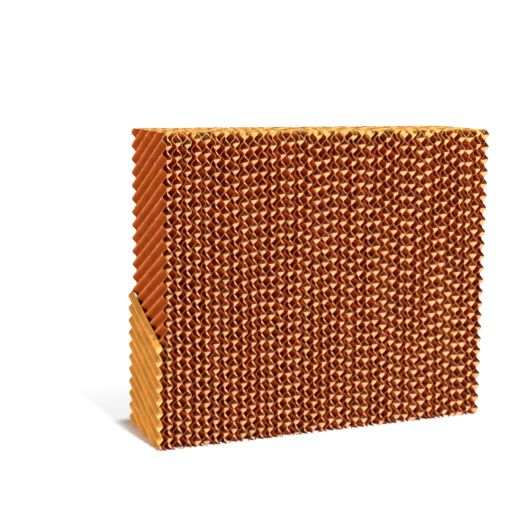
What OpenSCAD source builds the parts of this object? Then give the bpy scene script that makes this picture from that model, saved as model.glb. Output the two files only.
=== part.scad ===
// Evaporative cooling pad: a block of corrugated paper sheets standing on edge and glued crest to crest.
// The flutes of one sheet rise toward the front face and those of the next sheet fall toward it, so that
// every crest crosses the crests of its neighbour and the block is open to air and water from face to face.
// Lengths are in millimetres. The pad stands on its lower cut edge, with the front face toward -Y.

/* [Pad block] */
// width of the pad, along the stack of sheets
pad_width = 525; // [300:5:640]
// height of the pad, along the cut edges of the sheets
pad_height = 445; // [300:5:600]
// thickness of the pad, in the direction of the air
pad_depth = 150; // [100:10:200]

/* [Corrugation] */
// distance from one sheet to the next, before the sheets are shared out over the width
sheet_pitch = 7; // [6:0.5:10]
// distance from crest to crest, square to the flutes
flute_pitch = 17.4; // [14:0.2:24]
// slope of the flutes that rise toward the front, from level
rising_angle = 27; // [15:0.5:45]
// slope of the flutes that fall toward the front, from level
falling_angle = 21; // [15:0.5:45]
// radius of the crests of the end sheets and the torn sheet, at the middle of the paper
crest_radius = 2.4; // [1.2:0.1:3]
// radius of the pressed folds of the inner sheets, at the middle of the paper
fold_radius = 0.9; // [0.6:0.1:1.4]

/* [Paper] */
// thickness of the stiffened paper
paper = 0.5; // [0.3:0.05:0.9]
// glue line between the crests of two neighbouring sheets
glue_line = 0.2; // [0.1:0.05:0.4]

/* [Torn sheet at the left end] */
// height that is left of the torn sheet at the front face, to the nearest crest
remnant_height = 148; // [80:1:240]

/* [Hidden] */

// flat faces along the outside and the inside of a crest, and its radius: rounded where a sheet shows its
// whole face, and a pressed fold, flat outside and sharp inside, where only its cut edge shows
rounded = [3, 3, crest_radius];
pressed = [1, 0, fold_radius];

// whole pairs of sheets that fit beside the torn one, and the room that each sheet then has
sheet_count = 2 * floor((pad_width / sheet_pitch - 1) / 2);
sheet_room = pad_width / (sheet_count + 1);
left_edge = -pad_width / 2;

// a wave that just fits between the glue lines, measured at the middle of the paper
wave_height = sheet_room - glue_line - paper;
half_pitch = flute_pitch / 2;

// slope of the straight flanks that are tangent to crests and troughs of radius r
function flank_slope(r) =
    let (rise = 2 * r - wave_height)
    asin(2 * r / norm([half_pitch, rise])) - atan2(rise, half_pitch);

// the block reaches no farther than this from its middle, whichever way the flutes slope
reach = norm([pad_depth, pad_height]) / 2;

// half waves on each side of the middle, with some to spare beyond the block
spare_waves = 3;
half_waves = ceil(reach / half_pitch) + spare_waves;

// the sheets are laid with no set phase: these two numbers scatter their waves over the flute pitch
scatter_turn = 127.1;
scatter_gain = 437.585;

// corners of one turn of the paper, a crest (side = 1) or a trough (side = -1), on the face asked for
function turn_points(middle, side, face, fold) =
    let (
        facets = side * face > 0 ? fold[0] : fold[1],
        slope = flank_slope(fold[2]),
        turn = slope / (facets + 1),
        r = (fold[2] + side * face * paper / 2) / cos(turn)
    )
    [for (j = [0 : facets])
        let (a = slope - (2 * j + 1) * turn)
        [side * (wave_height / 2 - fold[2] + r * cos(a)), middle - r * sin(a)]
    ];

// one face of the paper, from half wave first up to half wave last
function wave_face(first, last, face, fold) =
    [for (k = [first : last], p = turn_points(k * half_pitch, k % 2 == 0 ? 1 : -1, face, fold)) p];

function reversed(points) = [for (i = [len(points) - 1 : -1 : 0]) points[i]];

function phase(i) = flute_pitch * (abs(scatter_gain * sin(i * scatter_turn)) % 1) - half_pitch;

// the section of the paper, square to the flutes
module wave(first, last, fold) {
    polygon(concat(wave_face(first, last, 1, fold), reversed(wave_face(first, last, -1, fold))));
}

module block() {
    translate([left_edge, -pad_depth / 2, 0])
        cube([pad_width, pad_depth, pad_height]);
}

// place i counts from the torn sheet, which is 0; odd places rise toward the front, even ones fall
module sheet(i) {
    lean = i % 2 == 1 ? -rising_angle : falling_angle;
    intersection() {
        translate([left_edge + (i + 0.5) * sheet_room, 0, pad_height / 2])
            rotate([90 + lean, 0, 0])
                linear_extrude(height = 2 * reach + flute_pitch, center = true)
                    translate([0, phase(i)])
                        children();
        block();
    }
}

module left_end_sheet() {
    color("#a8400f") sheet(1) wave(-half_waves, half_waves, rounded);
}

module rising_sheets() {
    color("#b5551f") for (i = [3 : 2 : sheet_count]) sheet(i) wave(-half_waves, half_waves, pressed);
}

module falling_sheets() {
    color("#e0a050") for (i = [2 : 2 : sheet_count - 1]) sheet(i) wave(-half_waves, half_waves, pressed);
}

module right_end_sheet() {
    color("#d08a30") sheet(sheet_count) wave(-half_waves, half_waves, rounded);
}

// only the lower part of the torn sheet is left: it tore along a crest that was glued to its neighbour
module corner_remnant() {
    tear = (remnant_height - pad_height / 2) * cos(falling_angle) + pad_depth / 2 * sin(falling_angle);
    torn_crest = 2 * round((tear - phase(0)) / flute_pitch);
    color("#e0a050") sheet(0) intersection() {
        wave(-half_waves, torn_crest, rounded);
        translate([-sheet_room, (torn_crest - 2 * half_waves) * half_pitch])
            square([2 * sheet_room, 2 * half_waves * half_pitch]);
    }
}

left_end_sheet();
rising_sheets();
falling_sheets();
right_end_sheet();
corner_remnant();
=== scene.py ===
# An evaporative cooling pad: a block of corrugated paper sheets that stand on edge, glued crest to crest.
# The flutes of one sheet rise toward the front and those of the next one fall toward it.
import math

import bpy
from mathutils import Matrix, Vector


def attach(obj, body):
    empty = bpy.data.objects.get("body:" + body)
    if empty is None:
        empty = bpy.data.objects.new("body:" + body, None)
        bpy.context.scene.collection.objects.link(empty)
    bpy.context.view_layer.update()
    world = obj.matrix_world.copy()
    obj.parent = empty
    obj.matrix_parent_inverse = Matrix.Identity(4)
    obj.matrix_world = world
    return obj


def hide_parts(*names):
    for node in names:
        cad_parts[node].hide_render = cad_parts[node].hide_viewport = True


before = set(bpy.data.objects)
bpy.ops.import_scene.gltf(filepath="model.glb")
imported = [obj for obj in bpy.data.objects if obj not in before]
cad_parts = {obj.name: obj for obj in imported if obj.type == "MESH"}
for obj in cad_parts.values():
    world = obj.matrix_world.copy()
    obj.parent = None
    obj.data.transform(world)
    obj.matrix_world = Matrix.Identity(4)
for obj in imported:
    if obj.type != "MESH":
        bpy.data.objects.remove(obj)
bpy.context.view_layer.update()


# The view: the pad stands on a pale floor, seen from the front, a little from its left end and from above.
# Every object comes into the scene by put.
def put(name, data):
    made = bpy.data.objects.new(name, data)
    bpy.context.scene.collection.objects.link(made)
    return made


camera_place = (-0.7191, -1.5495, 0.5209)
turn, dip, tilt = (math.radians(v) for v in (22.622, -9.307, 0.579))
ahead = Vector((math.sin(turn) * math.cos(dip), math.cos(turn) * math.cos(dip), math.sin(dip)))
level = Vector((math.cos(turn), -math.sin(turn), 0.0))
above = level.cross(ahead)
side_axis = level * math.cos(tilt) + above * math.sin(tilt)
up_axis = above * math.cos(tilt) - level * math.sin(tilt)
camera_data = bpy.data.cameras.new("camera")
camera_data.sensor_width = 36.0
camera_data.lens = 77.69
camera = put("camera", camera_data)
camera.matrix_world = Matrix.Translation(camera_place) @ Matrix(
    (side_axis, up_axis, -ahead)).transposed().to_4x4()
bpy.context.scene.camera = camera


# The left end sheet: the outermost whole sheet, resin-stiffened kraft paper pressed between fluted rolls. Its
# outer neighbour was peeled off, so its ridges are rubbed pale where they were glued, with a painted
# highlight on them as well, and painted shade darkens its troughs. It is glued by its inner crests.

# adds a node with its settings, and with a link or a value for each input
def node(tree, kind, links=None, **settings):
    made = tree.nodes.new(kind)
    for name, value in settings.items():
        setattr(made, name, value)
    for key, value in (links or {}).items():
        if isinstance(value, bpy.types.NodeSocket):
            tree.links.new(value, made.inputs[key])
        else:
            made.inputs[key].default_value = value
    return made


# a hex colour as it is written for a screen, turned to linear
def srgb(code):
    parts = [int(code[i:i + 2], 16) / 255 for i in (1, 3, 5)]
    return [c / 12.92 if c <= 0.04045 else ((c + 0.055) / 1.055) ** 2.4 for c in parts] + [1.0]


# the sizes of the part's source, in metres
pad_width, pad_height, pad_depth = 0.525, 0.445, 0.150
sheet_room = 0.007
flute_pitch = 0.0174
rising_slope, falling_slope = math.radians(27), math.radians(21)
paper = 0.0005
glue_line = 0.0002
wave_height = sheet_room - glue_line - paper

# places count from the torn sheet, which is 0; odd places rise toward the front, even ones fall
sheet_count = round(pad_width / sheet_room) - 1

# half waves over the block's diagonal, with some to spare at both ends
reach = math.hypot(pad_depth, pad_height) / 2
spare_waves = 4
half_waves = 2 * math.ceil(reach / (flute_pitch / 2)) + spare_waves

# the sheets are laid with no set phase: these two numbers scatter their waves over the flute pitch
scatter_turn = 127.1
scatter_gain = 437.585


def wave_phase(place):
    return flute_pitch * (abs(scatter_gain * math.sin(math.radians(place * scatter_turn))) % 1 - 0.5)


# an empty tree of Geometry Nodes with its named inputs
def new_tree(name, result, inputs):
    made = bpy.data.node_groups.new(name, "GeometryNodeTree")
    made.interface.new_socket(result, in_out="OUTPUT", socket_type="NodeSocketGeometry")
    for title, kind in inputs.items():
        made.interface.new_socket(title, in_out="INPUT", socket_type="NodeSocket" + kind)
    return made


# The press forms and stacks sheets: one grid for each place it is given, with its rows along the flutes.
press = new_tree("corrugated sheets", "Sheets", {
    "Places": "Geometry", "Slope": "Float", "Bottom": "Float", "Top": "Float", "Turn Rows": "Int",
    "Columns": "Int", "Fray": "Float", "Flatten": "Float", "Paper": "Material"})
given = node(press, "NodeGroupInput").outputs
rows = node(press, "ShaderNodeMath", {0: given["Turn Rows"], 1: float(half_waves), 2: 1.0},
            operation="MULTIPLY_ADD")
columns = node(press, "ShaderNodeMath", {0: given["Columns"], 1: 1.0}, operation="ADD")
grid = node(press, "GeometryNodeMeshGrid", {
    "Size X": 1.0, "Size Y": 1.0, "Vertices X": columns.outputs[0], "Vertices Y": rows.outputs[0]})
flat = node(press, "ShaderNodeSeparateXYZ", {0: node(press, "GeometryNodeInputPosition").outputs[0]}).outputs
along = node(press, "ShaderNodeMath", {0: flat["X"], 1: 0.5}, operation="ADD")
half_wave = node(press, "ShaderNodeMath", {0: flat["Y"], 1: float(half_waves)}, operation="MULTIPLY")
laid = grid
for name, value in (("share", along), ("strip", half_wave)):
    laid = node(press, "GeometryNodeStoreNamedAttribute", {
        "Geometry": laid.outputs[0], "Name": name, "Value": value.outputs[0]}, domain="POINT")
stacked = node(press, "GeometryNodeInstanceOnPoints", {
    "Points": given["Places"], "Instance": laid.outputs[0]})
sheets = node(press, "GeometryNodeRealizeInstances", {0: stacked.outputs[0]})

# Rows crowd at the crests: each half wave is measured out from its crest by a share less a sine.
phase, middle, share, strip = (
    node(press, "GeometryNodeInputNamedAttribute", {"Name": name}, data_type="FLOAT").outputs[0]
    for name in ("phase", "middle", "share", "strip"))
crowding = 0.5
around = node(press, "ShaderNodeMath", {0: strip, 1: 2 * math.pi}, operation="MULTIPLY")
swing = node(press, "ShaderNodeMath", {0: around.outputs[0]}, operation="SINE")
crowded = node(press, "ShaderNodeMath", {0: swing.outputs[0], 1: -crowding / (2 * math.pi), 2: strip},
               operation="MULTIPLY_ADD")
across = node(press, "ShaderNodeMath", {0: crowded.outputs[0], 1: flute_pitch / 2, 2: phase},
              operation="MULTIPLY_ADD")
across = node(press, "ShaderNodeMath", {0: across.outputs[0], 1: given["Bottom"]}, operation="MAXIMUM")
across = node(press, "ShaderNodeMath", {0: across.outputs[0], 1: given["Top"]}, operation="MINIMUM")
across = across.outputs[0]

# Each row runs along its flute from where it enters the block to where it leaves it.
sine = node(press, "ShaderNodeMath", {0: given["Slope"]}, operation="SINE").outputs[0]
cosine = node(press, "ShaderNodeMath", {0: given["Slope"]}, operation="COSINE").outputs[0]
half_up = node(press, "ShaderNodeMath", {0: cosine, 1: pad_height / 2}, operation="MULTIPLY").outputs[0]
over = node(press, "ShaderNodeMath", {0: half_up, 1: across}, operation="SUBTRACT")
under = node(press, "ShaderNodeMath", {0: half_up, 1: across}, operation="ADD")
downward = node(press, "ShaderNodeMath", {0: sine, 1: -1.0}, operation="MULTIPLY")
one_end = node(press, "ShaderNodeMath", {0: over.outputs[0], 1: sine}, operation="DIVIDE")
other_end = node(press, "ShaderNodeMath", {0: under.outputs[0], 1: downward.outputs[0]}, operation="DIVIDE")
first = node(press, "ShaderNodeMath", {0: one_end.outputs[0], 1: other_end.outputs[0]}, operation="MINIMUM")
last = node(press, "ShaderNodeMath", {0: one_end.outputs[0], 1: other_end.outputs[0]}, operation="MAXIMUM")
first = node(press, "ShaderNodeMath", {0: first.outputs[0], 1: -pad_depth / 2}, operation="MAXIMUM")
last = node(press, "ShaderNodeMath", {0: last.outputs[0], 1: pad_depth / 2}, operation="MINIMUM")

# The saw frays both ends of the row, in notches about 4 mm apart.
notch_spacing = 0.004
fray_spot = node(press, "ShaderNodeCombineXYZ", {"X": middle, "Y": across})
notches = node(press, "ShaderNodeTexNoise", {
    "Vector": fray_spot.outputs[0], "Scale": 1 / notch_spacing, "Detail": 2.0})
notch = node(press, "ShaderNodeSeparateXYZ", {0: notches.outputs["Color"]}).outputs
fray_back = node(press, "ShaderNodeMath", {0: given["Fray"], 1: -1.0}, operation="MULTIPLY")
first = node(press, "ShaderNodeMath", {0: notch[0], 1: given["Fray"], 2: first.outputs[0]},
             operation="MULTIPLY_ADD")
last = node(press, "ShaderNodeMath", {0: notch[1], 1: fray_back.outputs[0], 2: last.outputs[0]},
            operation="MULTIPLY_ADD")
last = node(press, "ShaderNodeMath", {0: last.outputs[0], 1: first.outputs[0]}, operation="MAXIMUM")
inward = node(press, "ShaderNodeMapRange", {
    "Value": share, "To Min": first.outputs[0], "To Max": last.outputs[0]}, clamp=False)
rise = node(press, "ShaderNodeMath", {0: inward.outputs[0], 1: sine, 2: across}, operation="MULTIPLY_ADD")
upward = node(press, "ShaderNodeMath", {0: rise.outputs[0], 1: cosine}, operation="DIVIDE")
upward = node(press, "ShaderNodeMath", {0: upward.outputs[0], 1: pad_height / 2}, operation="ADD")

# The wave itself: a cosine where Flatten is near 0, with broader crests and steeper flanks as it grows.
from_phase = node(press, "ShaderNodeMath", {0: across, 1: phase}, operation="SUBTRACT")
turned = node(press, "ShaderNodeMath", {0: from_phase.outputs[0], 1: 2 * math.pi / flute_pitch},
              operation="MULTIPLY")
round_crest = node(press, "ShaderNodeMath", {0: turned.outputs[0]}, operation="COSINE")
broad = node(press, "ShaderNodeMath", {0: round_crest.outputs[0], 1: given["Flatten"]}, operation="MULTIPLY")
broad = node(press, "ShaderNodeMath", {0: broad.outputs[0]}, operation="SINE")
full_height = node(press, "ShaderNodeMath", {0: given["Flatten"]}, operation="SINE")
crest = node(press, "ShaderNodeMath", {0: broad.outputs[0], 1: full_height.outputs[0]}, operation="DIVIDE")
sideways = node(press, "ShaderNodeMath", {0: crest.outputs[0], 1: wave_height / 2, 2: middle},
                operation="MULTIPLY_ADD")
spot = node(press, "ShaderNodeCombineXYZ", {
    "X": sideways.outputs[0], "Y": inward.outputs[0], "Z": upward.outputs[0]})
waved = node(press, "GeometryNodeStoreNamedAttribute", {
    "Geometry": sheets.outputs[0], "Name": "crest", "Value": crest.outputs[0]}, domain="POINT")
waved = node(press, "GeometryNodeSetPosition", {"Geometry": waved.outputs[0], "Position": spot.outputs[0]})

# Rows beyond the block have shrunk to points at its corners and are merged away.
merge_distance = 1e-5
clean = node(press, "GeometryNodeMergeByDistance", {"Geometry": waved.outputs[0], "Distance": merge_distance})
smooth = node(press, "GeometryNodeSetShadeSmooth", {"Geometry": clean.outputs[0]})
solid = node(press, "GeometryNodeRealizeInstances", {0: smooth.outputs[0]})
dressed = node(press, "GeometryNodeSetMaterial", {"Geometry": solid.outputs[0], "Material": given["Paper"]})
node(press, "NodeGroupOutput", {0: dressed.outputs[0]})


# the plain mesh that a tree makes at these points
def grow(points, tree, settings):
    carrier = put(points.name, points)
    layer = carrier.modifiers.new(tree.name, "NODES")
    layer.node_group = tree
    for item in tree.interface.items_tree:
        if item.in_out == "INPUT" and item.name in settings:
            layer[item.identifier] = settings[item.name]
    grown = bpy.data.meshes.new_from_object(carrier.evaluated_get(bpy.context.evaluated_depsgraph_get()))
    bpy.data.objects.remove(carrier)
    return grown


# one piece of the sheets at these places, with their paper and their sawn edges
def lay_sheets(name, places, slope, settings, paper_finish, edge_finish):
    corner = pad_depth / 2 * math.sin(abs(slope)) + pad_height / 2 * math.cos(slope)
    settings = {"Slope": slope, "Bottom": -corner, "Top": corner, "Paper": paper_finish} | settings
    middles = [-pad_width / 2 + (i + 0.5) * sheet_room for i in places]
    phases = [wave_phase(i) for i in places]
    points = bpy.data.meshes.new(name + " places")
    points.from_pydata([(x, 0, 0) for x in middles], [], [])
    points.attributes.new("phase", "FLOAT", "POINT").data.foreach_set("value", phases)
    points.attributes.new("middle", "FLOAT", "POINT").data.foreach_set("value", middles)
    piece = put(name, grow(points, press, settings))
    # the middle of the paper gets its thickness, and the rim that the saw left gets the finish of cut paper
    piece.data.materials.clear()
    piece.data.materials.append(paper_finish)
    piece.data.materials.append(edge_finish)
    wall = piece.modifiers.new("paper", "SOLIDIFY")
    wall.thickness = paper
    wall.offset = 0.0
    wall.material_offset_rim = 1
    piece.data = bpy.data.meshes.new_from_object(piece.evaluated_get(bpy.context.evaluated_depsgraph_get()))
    piece.modifiers.remove(wall)
    # the rim meets the faces in a sharp edge, while the waves stay smooth
    sharp_angle = math.radians(50)
    piece.data.set_sharp_from_angle(angle=sharp_angle)
    # no paper passes the saw cuts
    for v in piece.data.vertices:
        v.co.y = min(max(v.co.y, -pad_depth / 2), pad_depth / 2)
        v.co.z = min(max(v.co.z, 0.0), pad_height)
    piece.data.name = name
    return piece


# Kraft paper soaked with resin and cured: matt, with next to no gloss, cloudy and drawn in streaks. The three
# tones are the dark resin by the faces, a lighter orange deep in the flutes that is painted light standing in
# for light bounced into them, and a pale tone that is painted light on the sides the lamp lights.
def paper_material(name, resin, bounce_tone, lit_tone, edge="#f0a888", edge_share=0.0, ridge_share=0.0,
                   trough_shade=1.0, crown_share=1.0):
    made = bpy.data.materials.new(name)
    made.use_nodes = True
    tree = made.node_tree
    tree.nodes.clear()
    place = node(tree, "ShaderNodeTexCoord").outputs["Object"]
    away = node(tree, "ShaderNodeSeparateXYZ", {0: place}).outputs
    inward = node(tree, "ShaderNodeMath", {0: away["Y"]}, operation="ABSOLUTE").outputs[0]
    face = pad_depth / 2

    # painted light: the pale tone covers the first 8 to 14 mm behind both faces, about as deep as the lamp
    # lights the flutes, and goes gold at any depth by the top, where nothing above shades them
    lit_start, lit_full = face - 0.0140, face - 0.0084
    lit_depth = node(tree, "ShaderNodeMapRange", {
        "Value": inward, "From Min": lit_start, "From Max": lit_full}, interpolation_type="SMOOTHSTEP")
    top_start, top_full = pad_height - 0.022, pad_height - 0.006
    top_unshaded = node(tree, "ShaderNodeMapRange", {
        "Value": away["Z"], "From Min": top_start, "From Max": top_full, "To Max": crown_share},
        interpolation_type="SMOOTHSTEP")
    pale = node(tree, "ShaderNodeMix", {
        "Factor": top_unshaded.outputs[0], "A": srgb(lit_tone), "B": srgb("#f6c474")}, data_type="RGBA")
    lit = node(tree, "ShaderNodeMath", {0: lit_depth.outputs[0], 1: top_unshaded.outputs[0]}, operation="MAXIMUM")
    upper = node(tree, "ShaderNodeMix", {
        "Factor": lit.outputs[0], "A": srgb(bounce_tone), "B": pale.outputs[2]}, data_type="RGBA")

    # the resin is darker by the faces than deep in the flutes, where a lighter orange is painted light
    # standing in for light bounced into them
    face_start, face_full = face - 0.040, face - 0.008
    toward_faces = node(tree, "ShaderNodeMapRange", {
        "Value": inward, "From Min": face_start, "From Max": face_full}, interpolation_type="SMOOTHSTEP")
    lower = node(tree, "ShaderNodeMix", {
        "Factor": toward_faces.outputs[0], "A": srgb(bounce_tone), "B": srgb(resin)}, data_type="RGBA")

    # painted light: only the sides turned outward and upward, toward the lamp, take the pale tone, and the
    # others keep the dark resin
    lamp_rise = 0.5
    turn_start, turn_full = 0.06, 0.40
    outside = node(tree, "ShaderNodeMath", {0: away["Y"]}, operation="SIGN")
    toward_lamp = node(tree, "ShaderNodeCombineXYZ", {"Y": outside.outputs[0], "Z": lamp_rise})
    normal = node(tree, "ShaderNodeNewGeometry").outputs["Normal"]
    facing = node(tree, "ShaderNodeVectorMath", {0: normal, 1: toward_lamp.outputs[0]}, operation="DOT_PRODUCT")
    turned = node(tree, "ShaderNodeMapRange", {
        "Value": facing.outputs["Value"], "From Min": turn_start, "From Max": turn_full},
        interpolation_type="SMOOTHSTEP")
    tone = node(tree, "ShaderNodeMix", {
        "Factor": turned.outputs[0], "A": lower.outputs[2], "B": upper.outputs[2]}, data_type="RGBA")

    # the last few millimetres at the top are gold on every side, down to a ragged line
    rag_spacing, rag_depth = 0.006, 0.014
    crown_start, crown_full = pad_height + 0.001, pad_height + 0.006
    ragged = node(tree, "ShaderNodeTexNoise", {"Vector": place, "Scale": 1 / rag_spacing, "Detail": 2.0})
    crown_at = node(tree, "ShaderNodeMath", {0: ragged.outputs[0], 1: rag_depth, 2: away["Z"]},
                    operation="MULTIPLY_ADD")
    crown = node(tree, "ShaderNodeMapRange", {
        "Value": crown_at.outputs[0], "From Min": crown_start, "From Max": crown_full, "To Max": crown_share},
        interpolation_type="SMOOTHSTEP")
    tone = node(tree, "ShaderNodeMix", {
        "Factor": crown.outputs[0], "A": tone.outputs[2], "B": srgb("#ecb864")}, data_type="RGBA")

    # cloudy take-up of the resin, about 25 mm across
    cloud_size = 0.025
    cloud = node(tree, "ShaderNodeTexNoise", {"Vector": place, "Scale": 1 / cloud_size, "Detail": 4.0})
    clouds = node(tree, "ShaderNodeMapRange", {
        "Value": cloud.outputs[0], "From Min": 0.3, "From Max": 0.7, "To Min": 0.85, "To Max": 1.15})

    # streaks that the rolls drew along the flutes, about 2.5 mm apart and 60 mm long
    streak_spacing, streak_length = 0.0025, 0.06
    strip_at = node(tree, "ShaderNodeAttribute", attribute_name="strip").outputs["Fac"]
    share_at = node(tree, "ShaderNodeAttribute", attribute_name="share").outputs["Fac"]
    drawn = node(tree, "ShaderNodeCombineXYZ", {"X": strip_at, "Y": share_at, "Z": away["X"]})
    stretch = (flute_pitch / 2 / streak_spacing, pad_depth / streak_length, 1 / sheet_room)
    drawn = node(tree, "ShaderNodeVectorMath", {0: drawn.outputs[0], 1: stretch}, operation="MULTIPLY")
    streak = node(tree, "ShaderNodeTexNoise", {"Vector": drawn.outputs[0], "Scale": 1.0, "Detail": 2.0})
    streaks = node(tree, "ShaderNodeMapRange", {
        "Value": streak.outputs[0], "From Min": 0.3, "From Max": 0.7, "To Min": 0.86, "To Max": 1.14})

    # painted shade: the troughs of the outer side, where the wave is farthest from its ridge, are darker
    crest_at = node(tree, "ShaderNodeAttribute", attribute_name="crest").outputs["Fac"]
    shade_in_troughs = node(tree, "ShaderNodeMapRange", {
        "Value": crest_at, "From Min": -0.9, "From Max": 0.7, "To Min": 1.0, "To Max": trough_shade})
    depth = node(tree, "ShaderNodeMath", {0: clouds.outputs[0], 1: streaks.outputs[0]}, operation="MULTIPLY")
    depth = node(tree, "ShaderNodeMath", {0: depth.outputs[0], 1: shade_in_troughs.outputs[0]}, operation="MULTIPLY")
    tone = node(tree, "ShaderNodeMix", {"Factor": 1.0, "A": tone.outputs[2], "B": depth.outputs[0]},
                data_type="RGBA", blend_type="MULTIPLY")

    # ridges pale in patches of about 7 mm on the outer side, partly rubbed where they were glued and partly a
    # painted highlight where they catch the light, and paper frayed pale beside the saw cuts
    patch_size = 0.007
    patchy = node(tree, "ShaderNodeTexNoise", {"Vector": place, "Scale": 1 / patch_size, "Detail": 2.0})
    patches = node(tree, "ShaderNodeMapRange", {
        "Value": patchy.outputs[0], "From Min": 0.35, "From Max": 0.65, "To Min": 0.5 * ridge_share,
        "To Max": 1.4 * ridge_share})
    rubbed_and_lit = node(tree, "ShaderNodeMapRange", {
        "Value": crest_at, "From Min": -0.82, "From Max": -0.99, "To Max": patches.outputs[0]})
    fray_start, fray_full = face - 0.0012, face - 0.0004
    frayed = node(tree, "ShaderNodeMapRange", {
        "Value": inward, "From Min": fray_start, "From Max": fray_full, "To Max": edge_share})
    worn_and_lit = node(tree, "ShaderNodeMath", {0: rubbed_and_lit.outputs[0], 1: frayed.outputs[0]}, operation="MAXIMUM")
    tone = node(tree, "ShaderNodeMix", {
        "Factor": worn_and_lit.outputs[0], "A": tone.outputs[2], "B": srgb(edge)}, data_type="RGBA")

    # fibres, drawn about 2 mm apart, which is far coarser than real ones, so that they show
    fibre_spacing, fibre_height = 0.0018, 0.0004
    fibre = node(tree, "ShaderNodeTexNoise", {"Vector": place, "Scale": 1 / fibre_spacing, "Detail": 3.0})
    bump = node(tree, "ShaderNodeBump", {
        "Height": fibre.outputs[0], "Strength": 0.25, "Distance": fibre_height})
    shader = node(tree, "ShaderNodeBsdfPrincipled", {
        "Base Color": tone.outputs[2], "Roughness": 0.6, "Specular IOR Level": 0.02,
        "Normal": bump.outputs[0]})
    node(tree, "ShaderNodeOutputMaterial", {"Surface": shader.outputs[0]})
    return made


# the outer side is red-brown, darker than the torn sheet's gold, partly as painted shade on its flutes that
# face down, and it has no gold at the top
kraft_left = paper_material("resin kraft, outer sheet", "#c25414", "#c25414", "#cc6a28", edge="#f09860",
                            edge_share=0.3, ridge_share=0.45, trough_shade=0.66, crown_share=0.0)
# the saw opens the paper, so its cut edge is paler than its faces
sawn_edge = paper_material("sawn kraft edge", "#b4602e", "#c86c38", "#c86c38")
# fine rows and columns, because the sheet shows its whole face
whole_face = {"Turn Rows": 12, "Columns": 8, "Fray": 0.0008, "Flatten": 0.1}
left_end = lay_sheets("left_end_sheet_paper", [1], -rising_slope, whole_face, kraft_left, sawn_edge)
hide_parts("left_end_sheet")
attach(left_end, "root")


# The inner sheets whose flutes rise toward the front: every second sheet of the stack, resin-stiffened kraft
# paper glued crest to crest between the falling ones. Only their sawn edges and the first part of their
# flutes can be seen, and from the front they show their undersides.

# each flute shows two tones: the dark resin on the sides in shade, and a pale tone, painted light, on the
# sides the lamp lights by the faces, with a lighter orange deep in the flutes as painted bounce light
kraft_inner = paper_material("resin kraft, inner sheets", "#b44412", "#f47820", "#ffc686")
# fewer rows, because only cut ends show, and broader crests, as the cells between the sheets have
cut_ends = {"Turn Rows": 8, "Columns": 1, "Fray": 0.0008, "Flatten": 1.1}
rising = lay_sheets("rising_sheets_paper", range(3, sheet_count, 2), -rising_slope, cut_ends,
                    kraft_inner, sawn_edge)
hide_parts("rising_sheets")
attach(rising, "root")


# The inner sheets whose flutes fall toward the front, of the same paper and glued between the rising ones.
# From the front and above they show the upper sides of their flutes, which catch the light.

# the same saw cut, but paler than on the rising sheets: a painted highlight, so that it shows as a bright
# line
painted_lit_edge = paper_material("sawn kraft edge, painted highlight", "#e88658", "#ffa87c", "#ffa87c")
falling = lay_sheets("falling_sheets_paper", range(2, sheet_count, 2), falling_slope, cut_ends,
                     kraft_inner, painted_lit_edge)
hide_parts("falling_sheets")
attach(falling, "root")


# The right end sheet: the last of the stack, of the same paper, with flutes that fall toward the front. It
# is glued by its inner crests. Its outer side is out of sight, so it is finished plainly.

# the dark tone of the inner sheets all through, with no lighter orange painted deep in the flutes
kraft_right = paper_material("resin kraft, right end", "#b44412", "#b44412", "#ffc686")
right_end = lay_sheets("right_end_sheet_paper", [sheet_count], falling_slope, whole_face,
                       kraft_right, sawn_edge)
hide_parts("right_end_sheet")
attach(right_end, "root")


# The corner remnant: what is left of one more sheet of kraft paper, glued to the outside of the left end. It
# tore along a crest that was glued too, so its upper edge runs along a flute.

# this paper is a matt gold, paler than the left end sheet, partly its own tone and partly painted light on
# its flutes that face up
kraft_torn = paper_material("resin kraft, torn sheet", "#dc923c", "#dc923c", "#f4ba66", edge="#f8c878",
                            edge_share=0.4, ridge_share=0.3, trough_shade=0.97, crown_share=0.0)
remnant_height = 0.148
tear = ((remnant_height - pad_height / 2) * math.cos(falling_slope)
        + pad_depth / 2 * math.sin(falling_slope))
torn_crest = round((tear - wave_phase(0)) / flute_pitch) * flute_pitch + wave_phase(0)
remnant = lay_sheets("corner_remnant_paper", [0], falling_slope, whole_face | {"Top": torn_crest},
                     kraft_torn, sawn_edge)
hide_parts("corner_remnant")
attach(remnant, "root")


# The torn tufts: small flat tags of paper fibre and dried glue that stayed on the ridges of the left end
# sheet, one at each crossing with a crest of the sheet that was torn away above the remnant. They lie along
# the flutes of that sheet.
tuft_tree = new_tree("torn tufts", "Tufts", {
    "Places": "Geometry", "Size": "Vector", "Lean": "Vector", "Seed": "Int", "Paper": "Material"})
given = node(tuft_tree, "NodeGroupInput").outputs
tag = node(tuft_tree, "GeometryNodeMeshIcoSphere", {"Radius": 0.5, "Subdivisions": 3})
tag = node(tuft_tree, "GeometryNodeTransform", {"Geometry": tag.outputs["Mesh"], "Scale": given["Size"]})
smallest, largest = 0.6, 1.3
growth = node(tuft_tree, "FunctionNodeRandomValue", {2: smallest, 3: largest, "Seed": given["Seed"]},
              data_type="FLOAT")
stuck = node(tuft_tree, "GeometryNodeInstanceOnPoints", {
    "Points": given["Places"], "Instance": tag.outputs[0], "Rotation": given["Lean"],
    "Scale": growth.outputs[1]})
loose = node(tuft_tree, "GeometryNodeRealizeInstances", {0: stuck.outputs[0]})
tag_fibre, tag_pull = 0.0012, (0.0004, 0.0012, 0.0012)
pull = node(tuft_tree, "ShaderNodeTexNoise", {"Scale": 1 / tag_fibre, "Detail": 1.0})
pull = node(tuft_tree, "ShaderNodeVectorMath", {0: pull.outputs["Color"], 1: (0.5, 0.5, 0.5)},
            operation="SUBTRACT")
pull = node(tuft_tree, "ShaderNodeVectorMath", {0: pull.outputs[0], 1: tag_pull}, operation="MULTIPLY")
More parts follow.
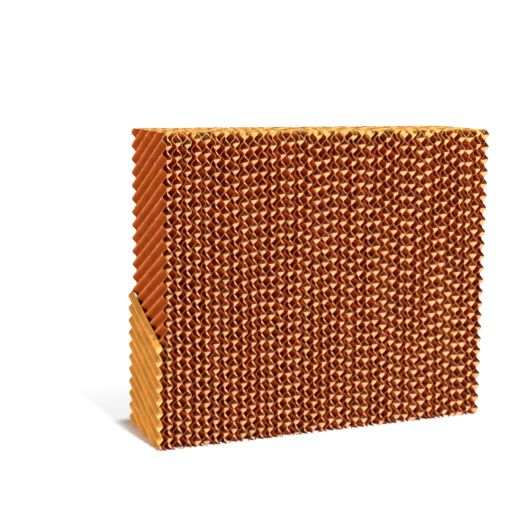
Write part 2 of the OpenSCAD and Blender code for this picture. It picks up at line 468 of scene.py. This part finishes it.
torn = node(tuft_tree, "GeometryNodeSetPosition", {"Geometry": loose.outputs[0], "Offset": pull.outputs[0]})
torn = node(tuft_tree, "GeometryNodeSetShadeSmooth", {"Geometry": torn.outputs[0]})
dressed = node(tuft_tree, "GeometryNodeSetMaterial", {
    "Geometry": torn.outputs[0], "Material": given["Paper"]})
node(tuft_tree, "NodeGroupOutput", {0: dressed.outputs[0]})

waves = range(-half_waves // 2, half_waves // 2)
ridges = [wave_phase(1) + (k + 0.5) * flute_pitch for k in waves]
crests = [c for c in (wave_phase(0) + k * flute_pitch for k in waves) if c > torn_crest]
crossing_sine = math.sin(rising_slope + falling_slope)
crossings = [((r * math.cos(falling_slope) - c * math.cos(rising_slope)) / crossing_sine,
              (c * math.sin(rising_slope) + r * math.sin(falling_slope)) / crossing_sine + pad_height / 2)
             for r in ridges for c in crests]
ridge_side = -pad_width / 2 + sheet_room + glue_line / 2
margin = 0.003
points = bpy.data.meshes.new("tuft places")
points.from_pydata([(ridge_side, y, z) for y, z in crossings
                    if abs(y) < pad_depth / 2 - margin and margin < z < pad_height - margin], [], [])
# torn fibre is fluffy and holds little resin, so it shows as pale spots
fibre_tuft = paper_material("torn kraft fibre", "#f4a678", "#f4a678", "#f4a678", crown_share=0.0)
tag_size = (0.0012, 0.0042, 0.0022)
tufts = put("torn_tufts", grow(points, tuft_tree, {
    "Size": tag_size, "Lean": (falling_slope, 0.0, 0.0), "Seed": 7, "Paper": fibre_tuft}))
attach(tufts, "root")


# The studio: a pale floor that takes the pad's shadow, a lamp in front and above, a broad one at the left,
# and soft light from all round. The camera sees the floor lit by the lamps alone under the pad; around it a
# painted contact shadow fades out over 3 cm, and the floor is almost white there, where it keeps part of the
# lamps' shadow, and quite white farther out.
floor_half, floor_drop = 8.0, 0.0002
floor_mesh = bpy.data.meshes.new("floor")
floor_mesh.from_pydata([(x * floor_half, y * floor_half, -floor_drop)
                        for x, y in ((-1, -1), (1, -1), (1, 1), (-1, 1))], [], [(0, 1, 2, 3)])
floor = put("floor", floor_mesh)
white = bpy.data.materials.new("white floor")
white.use_nodes = True
tree = white.node_tree
tree.nodes.clear()
seen = node(tree, "ShaderNodeLightPath").outputs["Is Camera Ray"]
tint = node(tree, "ShaderNodeMix", {"Factor": seen, "A": srgb("#b8b8b8"), "B": srgb("#f4f4f4")},
            data_type="RGBA")
matt = node(tree, "ShaderNodeBsdfDiffuse", {"Color": tint.outputs[2]})
glow = node(tree, "ShaderNodeEmission", {"Color": (1, 1, 1, 1), "Strength": 1.15})
footprint = (pad_width / 2, pad_depth / 2, 0.0)
place = node(tree, "ShaderNodeTexCoord").outputs["Object"]
spread = node(tree, "ShaderNodeVectorMath", {0: place}, operation="ABSOLUTE")
spread = node(tree, "ShaderNodeVectorMath", {0: spread.outputs[0], 1: footprint}, operation="SUBTRACT")
spread = node(tree, "ShaderNodeVectorMath", {0: spread.outputs[0], 1: (0.0, 0.0, 0.0)}, operation="MAXIMUM")
spread = node(tree, "ShaderNodeVectorMath", {0: spread.outputs[0]}, operation="LENGTH").outputs["Value"]
# painted contact shadow: the glow that the camera sees grows from nothing at the pad's footprint to most of
# it 3 cm away, so the floor beside the pad is darker whatever the lamps do
shadow_edge, shadow_end = 0.03, 0.45
painted_shadow_fade = node(tree, "ShaderNodeMapRange", {"Value": spread, "From Max": shadow_edge, "To Max": 0.7},
            interpolation_type="SMOOTHSTEP")
far = node(tree, "ShaderNodeMapRange", {
    "Value": spread, "From Min": shadow_edge, "From Max": shadow_end, "To Max": 0.3},
    interpolation_type="SMOOTHSTEP")
whiter = node(tree, "ShaderNodeMath", {0: painted_shadow_fade.outputs[0], 1: far.outputs[0]}, operation="ADD")
shown = node(tree, "ShaderNodeMath", {0: seen, 1: whiter.outputs[0]}, operation="MULTIPLY")
mixed = node(tree, "ShaderNodeMixShader", {0: shown.outputs[0], 1: matt.outputs[0], 2: glow.outputs[0]})
node(tree, "ShaderNodeOutputMaterial", {"Surface": mixed.outputs[0]})
floor_mesh.materials.append(white)

world = bpy.data.worlds.new("studio")
bpy.context.scene.world = world
world.use_nodes = True
tree = world.node_tree
tree.nodes.clear()
path = node(tree, "ShaderNodeLightPath").outputs
seen = node(tree, "ShaderNodeMath", {0: path["Is Camera Ray"], 1: path["Is Glossy Ray"]}, operation="MAXIMUM")
soft_light, backdrop = 0.15, 1.1
strength = node(tree, "ShaderNodeMix", {"Factor": seen.outputs[0], "A": soft_light, "B": backdrop})
sky = node(tree, "ShaderNodeBackground", {"Color": (1, 1, 1, 1), "Strength": strength.outputs[0]})
node(tree, "ShaderNodeOutputWorld", {"Surface": sky.outputs[0]})

for name, watts, size, stand, target in (("key", 95.0, 0.2, (0.05, -1.90, 1.97), (0.0, 0.0, 0.25)),
                                         ("side", 37.0, 1.2, (-2.3, 0.4, 0.5), (-0.25, 0.0, 0.25))):
    lamp_data = bpy.data.lights.new(name, "AREA")
    lamp_data.energy = watts
    lamp_data.size = size
    lamp = put(name, lamp_data)
    lamp.location = stand
    lamp.rotation_mode = "QUATERNION"
    lamp.rotation_quaternion = (Vector(target) - lamp.location).to_track_quat("-Z", "Y")

bpy.context.scene.view_settings.view_transform = "Standard"
